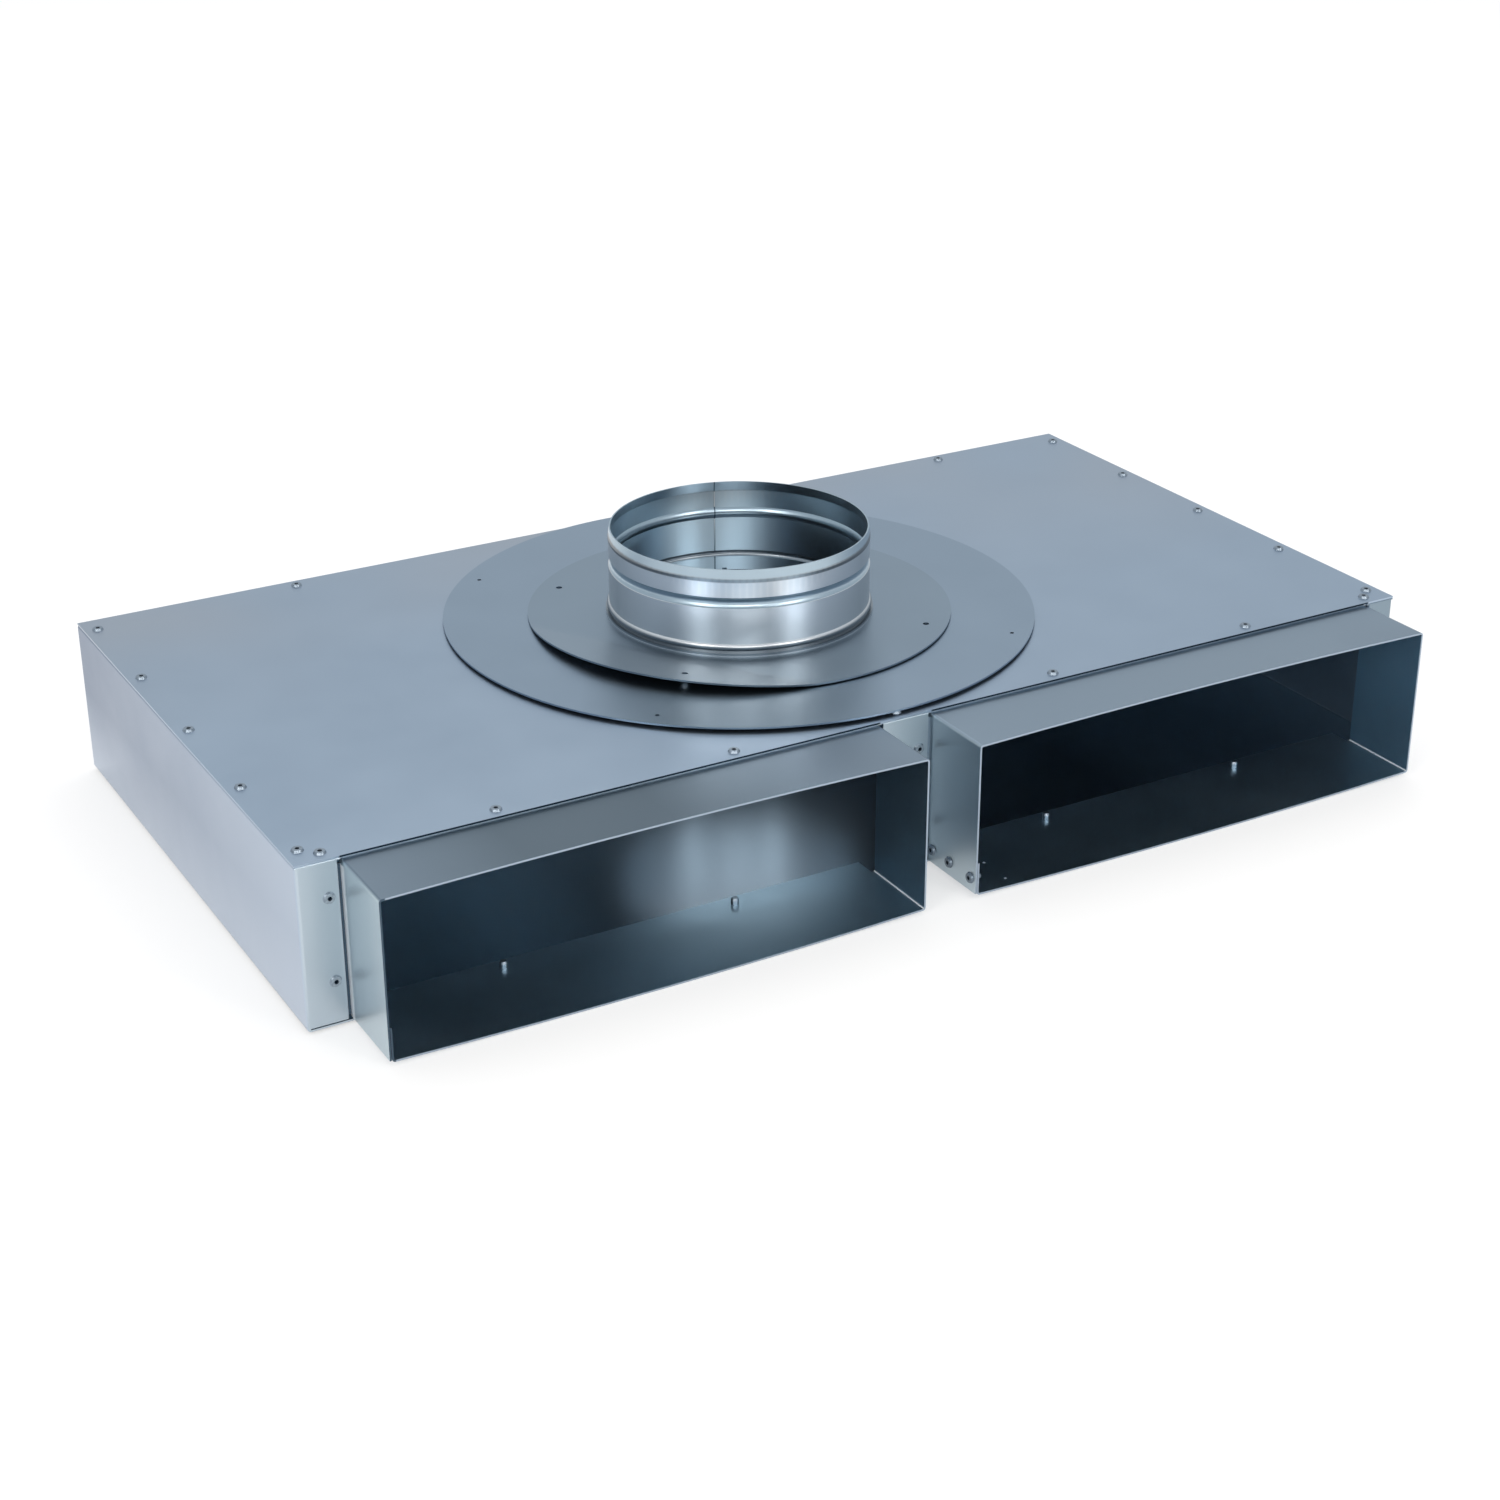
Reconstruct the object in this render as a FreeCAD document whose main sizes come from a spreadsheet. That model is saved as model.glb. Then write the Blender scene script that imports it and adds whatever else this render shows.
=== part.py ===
import FreeCAD, Part
import os
import re
import Sketcher

# Driving sizes of the duct branch piece, in millimetres and degrees.
# The frame: +X along the front to the right, the outlets point to -Y, +Z up.
# The origin is on the underside of the box, in the middle of its plan.
SIZES = {
    "box_length": (680, "box along its front"),
    "box_width": (345, "box from front to back"),
    "box_height": (91, "box with its lid"),
    "sheet": (1.0, "thickness of the box, sleeve and plate sheets"),
    "bend_inside": (0.8, "inside radius of the folds"),
    "edge_land": (0.15, "flat left beside the rounded edges of the front strips and the rail"),
    "rim_flange": (15, "flanges under the lid and tongues of the sleeves"),
    "rail_set_back": (1, "rail behind the lid's edge over the outlets"),
    "mitre_gap": (0.4, "gap along the mitres of the rim flanges"),
    "left_margin": (23.3, "front strip left of the left outlet"),
    "right_margin": (19.5, "front strip right of the right outlet"),
    "outlet_gap": (31.2, "between the two outlets"),
    "strip_groove": (1.5, "groove between a front strip and an outlet"),
    "strip_slit": (0.6, "slit between a front strip and the floor"),
    "outlet_reach": (47, "outlet sleeve in front of the box"),
    "mouth_rise": (2, "bow of a sleeve's top at its mouth, upwards"),
    "mouth_sag": (2.2, "bow of a sleeve's underside at its mouth, downwards"),
    "side_flange": (13, "flanges of a sleeve behind the front strips"),
    "flange_end_gap": (0.7, "gap above and below a side flange"),
    "seam_lap": (19, "height of the lap at a sleeve's seam"),
    "seam_gap": (0.2, "gap between the two sheets of a seam"),
    "pilot_hole": (1.8, "small holes in the floor of the right sleeve"),
    "pilot_inset": (24.8, "small holes from the seam side"),
    "pilot_front": (39.3, "front small hole from the front of the box"),
    "pilot_back": (19.0, "back small hole from the front of the box"),
    "plate_edge": (2, "radius of the big plate under half the width of the box"),
    "big_plate_right": (-1, "middle of the big plate from the middle of the box, along X"),
    "plate_step": (48.5, "edge of the small plate inside that of the big one"),
    "big_plate_hole_inset": (10.5, "holes in the big plate from its edge"),
    "small_plate_hole_inset": (12, "holes in the small plate from its edge"),
    "big_plate_tilt": (0.30, "tilt of the big plate"),
    "big_plate_heading": (25, "raised side, from the front towards the left"),
    "small_plate_tilt": (0.48, "tilt of the small plate and the collar"),
    "small_plate_heading": (25, "raised side, from the front towards the left"),
    "plate_bend_room": (2, "bend in the small plate from the collar's foot"),
    "plate_bend_angle": (6.2, "bent part of the small plate, upwards"),
    "plate_bend_radius": (60, "underside radius of the bend in the small plate"),
    "plate_bend_heading": (58, "bent side, from the front towards the left"),
    "big_plate_hole": (2.4, "holes in the big round plate"),
    "small_plate_hole": (3.6, "holes in the small round plate"),
    "plate_rest_gap": (0.05, "gap where the small plate rests on the big one"),
    "collar_diameter": (150, "collar, outside"),
    "collar_sheet": (0.8, "thickness of the collar's sheet"),
    "collar_clearance": (0.6, "gap round the collar in its holes"),
    "collar_right": (-2.2, "collar axis from the middle of the box, along X"),
    "collar_back": (-0.7, "collar axis from the middle of the box, along Y"),
    "collar_height": (50, "collar above the small plate"),
    "lip_height": (5.5, "tapered lead-in at the top of the collar"),
    "lip_taper": (0.8, "how far the lead-in narrows in radius"),
    "groove_height": (30.6, "middle of the inward groove above the small plate"),
    "groove_width": (6.5, "inward groove along the axis"),
    "groove_depth": (1.5, "inward groove across the axis"),
    "bead_height": (4.5, "middle of the outward bead above the small plate"),
    "bead_width": (4.0, "outward bead along the axis"),
    "bead_depth": (1.2, "outward bead across the axis"),
    "foot_ring": (2.0, "width of the folded ring that lies on the small plate"),
    "collar_seam_turn": (72, "seam inside the collar, from the right towards the back"),
    "collar_seam_width": (0.6, "seam inside the collar"),
    "collar_seam_depth": (0.25, "seam inside the collar"),
    "collar_seam_land": (0.5, "seam from the ends of each straight part"),
    "tab_length": (8, "tabs folded out under the lid"),
    "tab_slot": (3, "slots between the tabs"),
    "tab_gap": (0.1, "gap where the tabs meet the lid"),
    "rivet_shank": (3.2, "shank of the blind rivets"),
    "rivet_clearance": (0.2, "rivet hole over the shank, in diameter"),
    "rivet_head": (6.5, "diameter of a rivet head"),
    "rivet_head_height": (1.2, "height of a rivet head"),
    "rivet_dimple": (2.3, "diameter of the dimple in a head"),
    "rivet_dimple_depth": (1.0, "depth of the dimple in a head"),
    "rivet_tail": (4.2, "diameter of the set tail of a rivet"),
    "rivet_tail_length": (3.8, "length of the set tail of a rivet"),
    "row_inset": (7.5, "rivet rows of the lid from its edges"),
    "side_row_end": (15, "last side rivets from the front and back edges"),
    "front_row_end": (16, "last front rivets from the side edges"),
    "outlet_rivets": (134, "two rivets over each outlet, between centres"),
    "back_rivets": (454, "two rivets at the back, between centres"),
    "back_rivet_shift": (17, "middle of the back rivets, along X"),
    "strip_rivet_inset": (7.1, "front strip rivets from the side of the outlet"),
    "strip_rivet_low": (24.4, "lower strip rivets above the underside"),
    "strip_rivet_high": (70, "upper strip rivets above the underside"),
    "seam_rivet_height": (8.7, "seam rivets above the underside of the sleeve"),
    "seam_rivet_back": (5.1, "back seam rivet from the front of the box"),
    "seam_rivet_middle": (21.7, "middle seam rivet from the front of the box"),
    "seam_rivet_front": (41.9, "front seam rivet from the front of the box"),
}
# Sizes that follow from the driving ones: the outside width of an outlet sleeve, the diameters of
# the two round plates, and the bend in the small plate from the collar's axis.
DERIVED = {
    "outlet_width": "(box_length - left_margin - right_margin - outlet_gap) / 2",
    "big_plate": "box_width - 2 * plate_edge",
    "small_plate": "box_width - 2 * plate_edge - 2 * plate_step",
    "plate_bend": "collar_diameter / 2 + foot_ring + plate_bend_room",
}
SIDE_ROW_COUNT = 5
TAB_COUNT = 16
PLATE_HOLE_COUNT = 4
NEAR = 0.001

# Places that several pieces share, as formulas of the driving sizes.
FRONT = "(-box_width / 2)"
BACK = "(box_width / 2)"
LEFT = "(-box_length / 2)"
RIGHT = "(box_length / 2)"
LID_UNDER = "(box_height - sheet)"
FLANGE_UNDER = "(box_height - 2 * sheet)"
BEND_OUTSIDE = "(bend_inside + sheet)"
RIVET_HOLE = "(rivet_shank + rivet_clearance)"
COLLAR_HOLE = "(collar_diameter + 2 * collar_clearance)"
SLEEVE_HEIGHT = "(box_height - 3 * sheet)"
LAP = "(sheet + seam_gap)"
LAP_INNER = "(2 * sheet + seam_gap)"
SLEEVE_LEFT = {
    "left": "(-box_length / 2 + left_margin)",
    "right": "(box_length / 2 - right_margin - outlet_width)",
}
FLOOR_RIVET_Y = "(-box_width / 2 + row_inset)"
BIG_PLATE_Z = "(box_height + big_plate / 2 * sin(big_plate_tilt))"
HOLE_RIGHT = "(collar_right - big_plate_right)"
HOLE_BACK = "(collar_back - plate_edge)"
SMALL_PLATE_SPREAD = (
    "(sqrt((tan(small_plate_tilt) * sin(small_plate_heading)"
    " - tan(big_plate_tilt) * sin(big_plate_heading)) ^ 2"
    " + (tan(small_plate_tilt) * cos(small_plate_heading)"
    " - tan(big_plate_tilt) * cos(big_plate_heading)) ^ 2))"
)
BIG_PLATE_RISE = (
    "(-tan(big_plate_tilt) * (" + HOLE_RIGHT + " * sin(big_plate_heading) + "
    + HOLE_BACK + " * cos(big_plate_heading)))"
)
SMALL_PLATE_Z = (
    BIG_PLATE_Z + " + " + BIG_PLATE_RISE + " + sheet + small_plate / 2 * " + SMALL_PLATE_SPREAD
    + " + plate_rest_gap"
)
TAB_DROP = (
    "(" + SMALL_PLATE_Z + " - " + LID_UNDER
    + " + (collar_diameter / 2 + tab_length) * tan(small_plate_tilt) + tab_gap)"
)

doc = FreeCAD.newDocument("duct_branch")
sheet = doc.addObject("Spreadsheet::Sheet", "sizes")
for row, (alias, (number, note)) in enumerate(SIZES.items(), 1):
    sheet.set(f"A{row}", alias)
    sheet.set(f"B{row}", str(number))
    sheet.set(f"C{row}", note)
    sheet.setAlias(f"B{row}", alias)
doc.recompute()


def formula(text):
    """The text with each size's name written as a reference to its cell."""
    return re.sub(r"[a-z]\w*", lambda word: refer(word.group()), text)


def refer(word):
    """A cell reference for a driving size, the formula of a derived one, any other word as it is."""
    if word in DERIVED:
        return "(" + formula(DERIVED[word]) + ")"
    return "sizes." + word if word in SIZES else word


def value(text):
    """The number that a formula gives now."""
    return float(sheet.evalExpression(formula(text).replace("sizes.", "")))


# Helpers that draw sketches and build features.
def new_body(label):
    """An empty body whose label names its file."""
    body = doc.addObject("PartDesign::Body", label)
    body.Label = label
    return body


def new_sketch(body, name, role, x="0", y="0", z="0"):
    """A sketch on an origin plane of the body, with its origin moved to x, y, z."""
    sketch = body.newObject("Sketcher::SketchObject", f"{body.Label}_{name}")
    plane = next(item for item in body.Origin.OriginFeatures if item.Role == role)
    sketch.AttachmentSupport = [(plane, "")]
    sketch.MapMode = "FlatFace"
    moves = {
        "XY_Plane": (x, y, z),
        "XZ_Plane": (x, z, f"-({y})"),
        "YZ_Plane": (y, z, x),
    }[role]
    for axis, text in zip("xyz", moves):
        sketch.setExpression(f"AttachmentOffset.Base.{axis}", formula(text))
    return sketch


def bind(sketch, constraint, text):
    """Adds a constraint whose value follows a formula."""
    number = sketch.addConstraint(constraint)
    sketch.setExpression(f"Constraints[{number}]", formula(text))


def pin_point(sketch, item, end, across, up):
    """Ties one point of a sketch item to two formulas, counted from the sketch's origin."""
    for kind, axis_line, text in (("DistanceX", -2, across), ("DistanceY", -1, up)):
        if text == "0":
            sketch.addConstraint(Sketcher.Constraint("PointOnObject", item, end, axis_line))
        else:
            bind(sketch, Sketcher.Constraint(kind, -1, 1, item, end, value(text)), text)


def outline(sketch, points):
    """Draws a closed outline through points. Each is (across, up), or (across, up, radius, side)
    where the way to the point is an arc that stands out to the left (1) or right (-1) of it."""
    places = [FreeCAD.Vector(value(point[0]), value(point[1]), 0) for point in points]
    joints = []
    for index, point in enumerate(points):
        start = places[index - 1]
        end = places[index]
        if len(point) == 2:
            item = sketch.addGeometry(Part.LineSegment(start, end))
            joints.append((item, 1, 2))
            continue
        radius = value(point[2])
        chord = end - start
        left = FreeCAD.Vector(-chord.y, chord.x, 0).normalize()
        rise = radius - (radius ** 2 - chord.Length ** 2 / 4) ** 0.5
        middle = (start + end) / 2 + left * point[3] * rise
        item = sketch.addGeometry(Part.Arc(start, middle, end))
        forward = sketch.getPoint(item, 1).distanceToPoint(start) < NEAR
        joints.append((item, 1, 2) if forward else (item, 2, 1))
        bind(sketch, Sketcher.Constraint("Radius", item, radius), point[2])
    for index, (item, start_end, far_end) in enumerate(joints):
        before, _, before_far = joints[index - 1]
        sketch.addConstraint(Sketcher.Constraint("Coincident", before, before_far, item, start_end))
    for point, (item, _, far_end) in zip(points, joints):
        pin_point(sketch, item, far_end, point[0], point[1])


def arc_radius(width, depth):
    """The radius of an arc of the given width and depth, as a formula."""
    return f"(({width}) ^ 2 / 4 + ({depth}) ^ 2) / (2 * ({depth}))"


def rectangle(sketch, left, bottom, right, top):
    """Draws a rectangle between four formulas."""
    outline(sketch, [(left, bottom), (right, bottom), (right, top), (left, top)])


def circles(sketch, diameter, centres):
    """Draws equal circles round centres given as pairs of formulas."""
    for across, up in centres:
        centre = FreeCAD.Vector(value(across), value(up), 0)
        circle = Part.Circle(centre, FreeCAD.Vector(0, 0, 1), value(diameter) / 2)
        item = sketch.addGeometry(circle)
        pin_point(sketch, item, 3, across, up)
        bind(sketch, Sketcher.Constraint("Diameter", item, value(diameter)), diameter)


def extend(feature, sketch, length, way):
    """Sets how far and which way a pad or pocket goes from its sketch."""
    feature.Profile = sketch
    feature.setExpression("Length", formula(length))
    feature.Midplane = way == "both"
    feature.Reversed = way == "reverse"
    doc.recompute()


def pad(body, sketch, length, way="forward"):
    """Adds material along the sketch's normal, against it (reverse), or to both sides of it."""
    feature = body.newObject("PartDesign::Pad", sketch.Name + "_pad")
    extend(feature, sketch, length, way)
    return feature


def cut(body, sketch, length, way="both"):
    """Cuts the sketch out of the body: to both sides of it, against its normal (forward, which
    is a pocket's own way) or along it (reverse)."""
    before = body.Shape.Volume
    feature = body.newObject("PartDesign::Pocket", sketch.Name + "_cut")
    extend(feature, sketch, length, way)
    if not body.Shape.Volume < before:
        raise ValueError(feature.Name + " cuts nothing")
    return feature


def round_edges(body, name, radius, groups):
    """Rounds straight edges. Each group is an axis and the places of its edges in the other two."""
    doc.recompute()
    base = body.Tip
    chosen = []
    for axis, places in groups:
        chosen += straight_edges(base.Shape, axis, places)
    feature = body.newObject("PartDesign::Fillet", f"{body.Label}_{name}")
    feature.Base = (base, chosen)
    feature.setExpression("Radius", formula(radius))
    doc.recompute()
    return feature


def straight_edges(shape, axis, places):
    """Names of the straight edges along an axis at any of the places, as pairs of formulas."""
    others = ["xyz".index(letter) for letter in "xyz" if letter != axis]
    spots = [(value(first), value(second)) for first, second in places]
    names = []
    for number, edge in enumerate(shape.Edges, 1):
        ends = [vertex.Point for vertex in edge.Vertexes]
        for spot in spots:
            off = [abs(end[k] - at) for end in ends for k, at in zip(others, spot)]
            if len(ends) == 2 and max(off) < NEAR:
                names.append(f"Edge{number}")
    return names


def ring_places(diameter, count):
    """Places spread evenly round a circle, starting between the axes."""
    turn = 360 / count
    angles = [turn / 2 + turn * step for step in range(count)]
    return [(f"{diameter} / 2 * cos({angle})", f"{diameter} / 2 * sin({angle})") for angle in angles]


def check(item):
    """Stops when an object failed or its shape is empty or broken."""
    bad = [word for word in item.State if word in ("Invalid", "Error")]
    if bad or item.Shape.isNull() or not item.Shape.isValid():
        raise ValueError(f"{item.Label} failed: {item.State}")


# Rivet places, used by the holes and by the rivets in them.
SIDE_ROW = [
    (f"({side} * (box_length / 2 - row_inset))",
     f"({FRONT} + side_row_end + {step} * (box_width - 2 * side_row_end) / {SIDE_ROW_COUNT - 1})")
    for side in (-1, 1)
    for step in range(SIDE_ROW_COUNT)
]
BACK_ROW = [
    (f"(back_rivet_shift + {side} * back_rivets / 2)", "(box_width / 2 - row_inset)")
    for side in (-1, 1)
]
FRONT_ROW = [
    ("(-box_length / 2 + front_row_end)", FLOOR_RIVET_Y),
    ("0", FLOOR_RIVET_Y),
    ("(box_length / 2 - front_row_end)", FLOOR_RIVET_Y),
]
OUTLET_ROW = {
    side: [
        (f"({left} + outlet_width / 2 + {way} * outlet_rivets / 2)", FLOOR_RIVET_Y)
        for way in (-1, 1)
    ]
    for side, left in SLEEVE_LEFT.items()
}
OUTLET_ROWS = OUTLET_ROW["left"] + OUTLET_ROW["right"]
STRIP_X = {
    "tray": [
        f"({SLEEVE_LEFT['left']} - strip_rivet_inset)",
        f"({SLEEVE_LEFT['right']} + outlet_width + strip_rivet_inset)",
    ],
    "rail": [
        f"({SLEEVE_LEFT['left']} + outlet_width + strip_rivet_inset)",
        f"({SLEEVE_LEFT['right']} - strip_rivet_inset)",
    ],
}
STRIP_ROWS = {
    piece: [(x, z) for x in places for z in ("strip_rivet_low", "strip_rivet_high")]
    for piece, places in STRIP_X.items()
}
SEAM_ROW = [
    f"({FRONT} - {name})"
    for name in ("seam_rivet_back", "seam_rivet_middle", "seam_rivet_front")
]


# The tray: floor, two sides and back folded from one sheet, with flanges under the lid.
def make_tray():
    body = new_body("tray")
    block = new_sketch(body, "plan", "XY_Plane")
    rectangle(block, LEFT, FRONT, RIGHT, BACK)
    pad(body, block, LID_UNDER)
    side_places = [(LEFT, "0"), (RIGHT, "0"), (LEFT, LID_UNDER), (RIGHT, LID_UNDER)]
    round_edges(body, "outer_folds", BEND_OUTSIDE, [
        ("x", [(BACK, "0"), (BACK, LID_UNDER)]),
        ("y", side_places),
        ("z", [(LEFT, FRONT), (RIGHT, FRONT)]),
    ])
    inside = new_sketch(body, "inside", "XY_Plane", z="sheet")
    left_in = f"({LEFT} + sheet)"
    right_in = f"({RIGHT} - sheet)"
    front_in = f"({FRONT} + sheet)"
    back_in = f"({BACK} - sheet)"
    rectangle(inside, left_in, front_in, right_in, back_in)
    cut(body, inside, "box_height - 3 * sheet", way="reverse")
    round_edges(body, "inner_folds", "bend_inside", [
        ("x", [(back_in, "sheet"), (back_in, FLANGE_UNDER)]),
        ("y", [(left_in, "sheet"), (left_in, FLANGE_UNDER)]),
        ("y", [(right_in, "sheet"), (right_in, FLANGE_UNDER)]),
        ("z", [(left_in, front_in), (right_in, front_in)]),
    ])
    rim = new_sketch(body, "rim_opening", "XY_Plane", z=f"{LID_UNDER} - sheet / 2")
    mitre = "(rim_flange + mitre_gap)"
    outline(rim, [
        (f"{LEFT} - sheet", f"{FRONT} - sheet + mitre_gap"),
        (f"{LEFT} - sheet", f"{FRONT} - 2 * sheet"),
        (f"{RIGHT} + sheet", f"{FRONT} - 2 * sheet"),
        (f"{RIGHT} + sheet", f"{FRONT} - sheet + mitre_gap"),
        (f"{RIGHT} - rim_flange", f"{FRONT} + {mitre}"),
        (f"{RIGHT} - rim_flange", f"{BACK} - rim_flange"),
        (f"{LEFT} + rim_flange", f"{BACK} - rim_flange"),
        (f"{LEFT} + rim_flange", f"{FRONT} + {mitre}"),
    ])
    cut(body, rim, "sheet")
    opening = new_sketch(body, "front_opening", "XZ_Plane", y=f"{FRONT} + sheet / 2")
    strip_left = f"({LEFT} + left_margin - strip_groove)"
    strip_right = f"({RIGHT} - right_margin + strip_groove)"
    slit_top = "(sheet + strip_slit)"
    outline(opening, [
        (f"{LEFT} + {BEND_OUTSIDE}", "sheet"),
        (f"{RIGHT} - {BEND_OUTSIDE}", "sheet"),
        (f"{RIGHT} - {BEND_OUTSIDE}", slit_top),
        (strip_right, slit_top),
        (strip_right, FLANGE_UNDER),
        (strip_left, FLANGE_UNDER),
        (strip_left, slit_top),
        (f"{LEFT} + {BEND_OUTSIDE}", slit_top),
    ])
    cut(body, opening, "3 * sheet")
    round_edges(body, "strip_edges", "sheet - edge_land", [
        ("z", [(strip_left, FRONT), (strip_right, FRONT)]),
    ])
    flange_holes = new_sketch(body, "flange_holes", "XY_Plane", z=f"{LID_UNDER} - sheet / 2")
    circles(flange_holes, RIVET_HOLE, SIDE_ROW + BACK_ROW)
    cut(body, flange_holes, "3 * sheet")
    floor_holes = new_sketch(body, "floor_holes", "XY_Plane", z="sheet / 2")
    circles(floor_holes, RIVET_HOLE, OUTLET_ROWS)
    cut(body, floor_holes, "3 * sheet")
    strip_holes = new_sketch(body, "strip_holes", "XZ_Plane", y=f"{FRONT} + sheet / 2")
    circles(strip_holes, RIVET_HOLE, STRIP_ROWS["tray"])
    cut(body, strip_holes, "3 * sheet")
    return body


# The lid: a flat sheet with the collar's hole and the rivet holes of its rim.
def make_lid():
    body = new_body("lid")
    plan = new_sketch(body, "plan", "XY_Plane", z=LID_UNDER)
    rectangle(plan, LEFT, FRONT, RIGHT, BACK)
    pad(body, plan, "sheet")
    hole = new_sketch(body, "collar_hole", "XY_Plane", x="collar_right", y="collar_back", z=LID_UNDER)
    circles(hole, COLLAR_HOLE, [("0", "0")])
    cut(body, hole, "3 * sheet")
    holes = new_sketch(body, "rivet_holes", "XY_Plane", z=LID_UNDER)
    circles(holes, RIVET_HOLE, SIDE_ROW + BACK_ROW + FRONT_ROW + OUTLET_ROWS)
    cut(body, holes, "3 * sheet")
    return body


# The front rail: a mitred flange under the lid with the middle strip folded down from it. Over
# the outlets its edge lies behind the lid's edge.
def make_front_rail():
    body = new_body("front_rail")
    flange = new_sketch(body, "flange", "XY_Plane", z=FLANGE_UNDER)
    recess = f"({FRONT} + rail_set_back)"
    strip_left = f"({SLEEVE_LEFT['left']} + outlet_width + strip_groove)"
    strip_right = f"({SLEEVE_LEFT['right']} - strip_groove)"
    outline(flange, [
        (LEFT, FRONT),
        (SLEEVE_LEFT["left"], FRONT),
        (SLEEVE_LEFT["left"], recess),
        (strip_left, recess),
        (strip_left, FRONT),
        (strip_right, FRONT),
        (strip_right, recess),
        (f"{SLEEVE_LEFT['right']} + outlet_width", recess),
        (f"{SLEEVE_LEFT['right']} + outlet_width", FRONT),
        (RIGHT, FRONT),
        (f"{RIGHT} - rim_flange", f"{FRONT} + rim_flange"),
        (f"{LEFT} + rim_flange", f"{FRONT} + rim_flange"),
    ])
    pad(body, flange, "sheet")
    strip = new_sketch(body, "strip", "XZ_Plane", y=FRONT)
    rectangle(strip, strip_left, "sheet + strip_slit", strip_right, LID_UNDER)
    pad(body, strip, "sheet", way="reverse")
    round_edges(body, "front_edges", "sheet - edge_land", [
        ("x", [(FRONT, LID_UNDER)]),
    ])
    flange_holes = new_sketch(body, "flange_holes", "XY_Plane", z=FLANGE_UNDER)
    circles(flange_holes, RIVET_HOLE, FRONT_ROW + OUTLET_ROWS)
    cut(body, flange_holes, "3 * sheet")
    strip_holes = new_sketch(body, "strip_holes", "XZ_Plane", y=f"{FRONT} + sheet / 2")
    circles(strip_holes, RIVET_HOLE, STRIP_ROWS["rail"])
    cut(body, strip_holes, "3 * sheet")
    return body


def sleeve_ring(sketch, bowed):
    """The outline of a sleeve's sheet, with straight long sides or with bowed ones."""
    lap_inner_width = f"(outlet_width - sheet - {LAP_INNER})"

    def bow(width, depth, side):
        """The radius and side that make a long side an arc, or nothing for a straight one."""
        return (arc_radius(width, depth), side) if bowed else ()

    outline(sketch, [
        ("0", "sheet"),
        ("0", SLEEVE_HEIGHT),
        ("outlet_width", SLEEVE_HEIGHT, *bow("outlet_width", "mouth_rise", 1)),
        ("outlet_width", "0"),
        (LAP, "0", *bow(f"outlet_width - {LAP}", "mouth_sag", 1)),
        (LAP, "seam_lap"),
        (LAP_INNER, "seam_lap"),
        (LAP_INNER, "sheet"),
        ("outlet_width - sheet", "sheet", *bow(lap_inner_width, "mouth_sag", -1)),
        ("outlet_width - sheet", f"{SLEEVE_HEIGHT} - sheet"),
        ("sheet", f"{SLEEVE_HEIGHT} - sheet", *bow("outlet_width - 2 * sheet", "mouth_rise", -1)),
        ("sheet", "sheet"),
    ])


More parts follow.
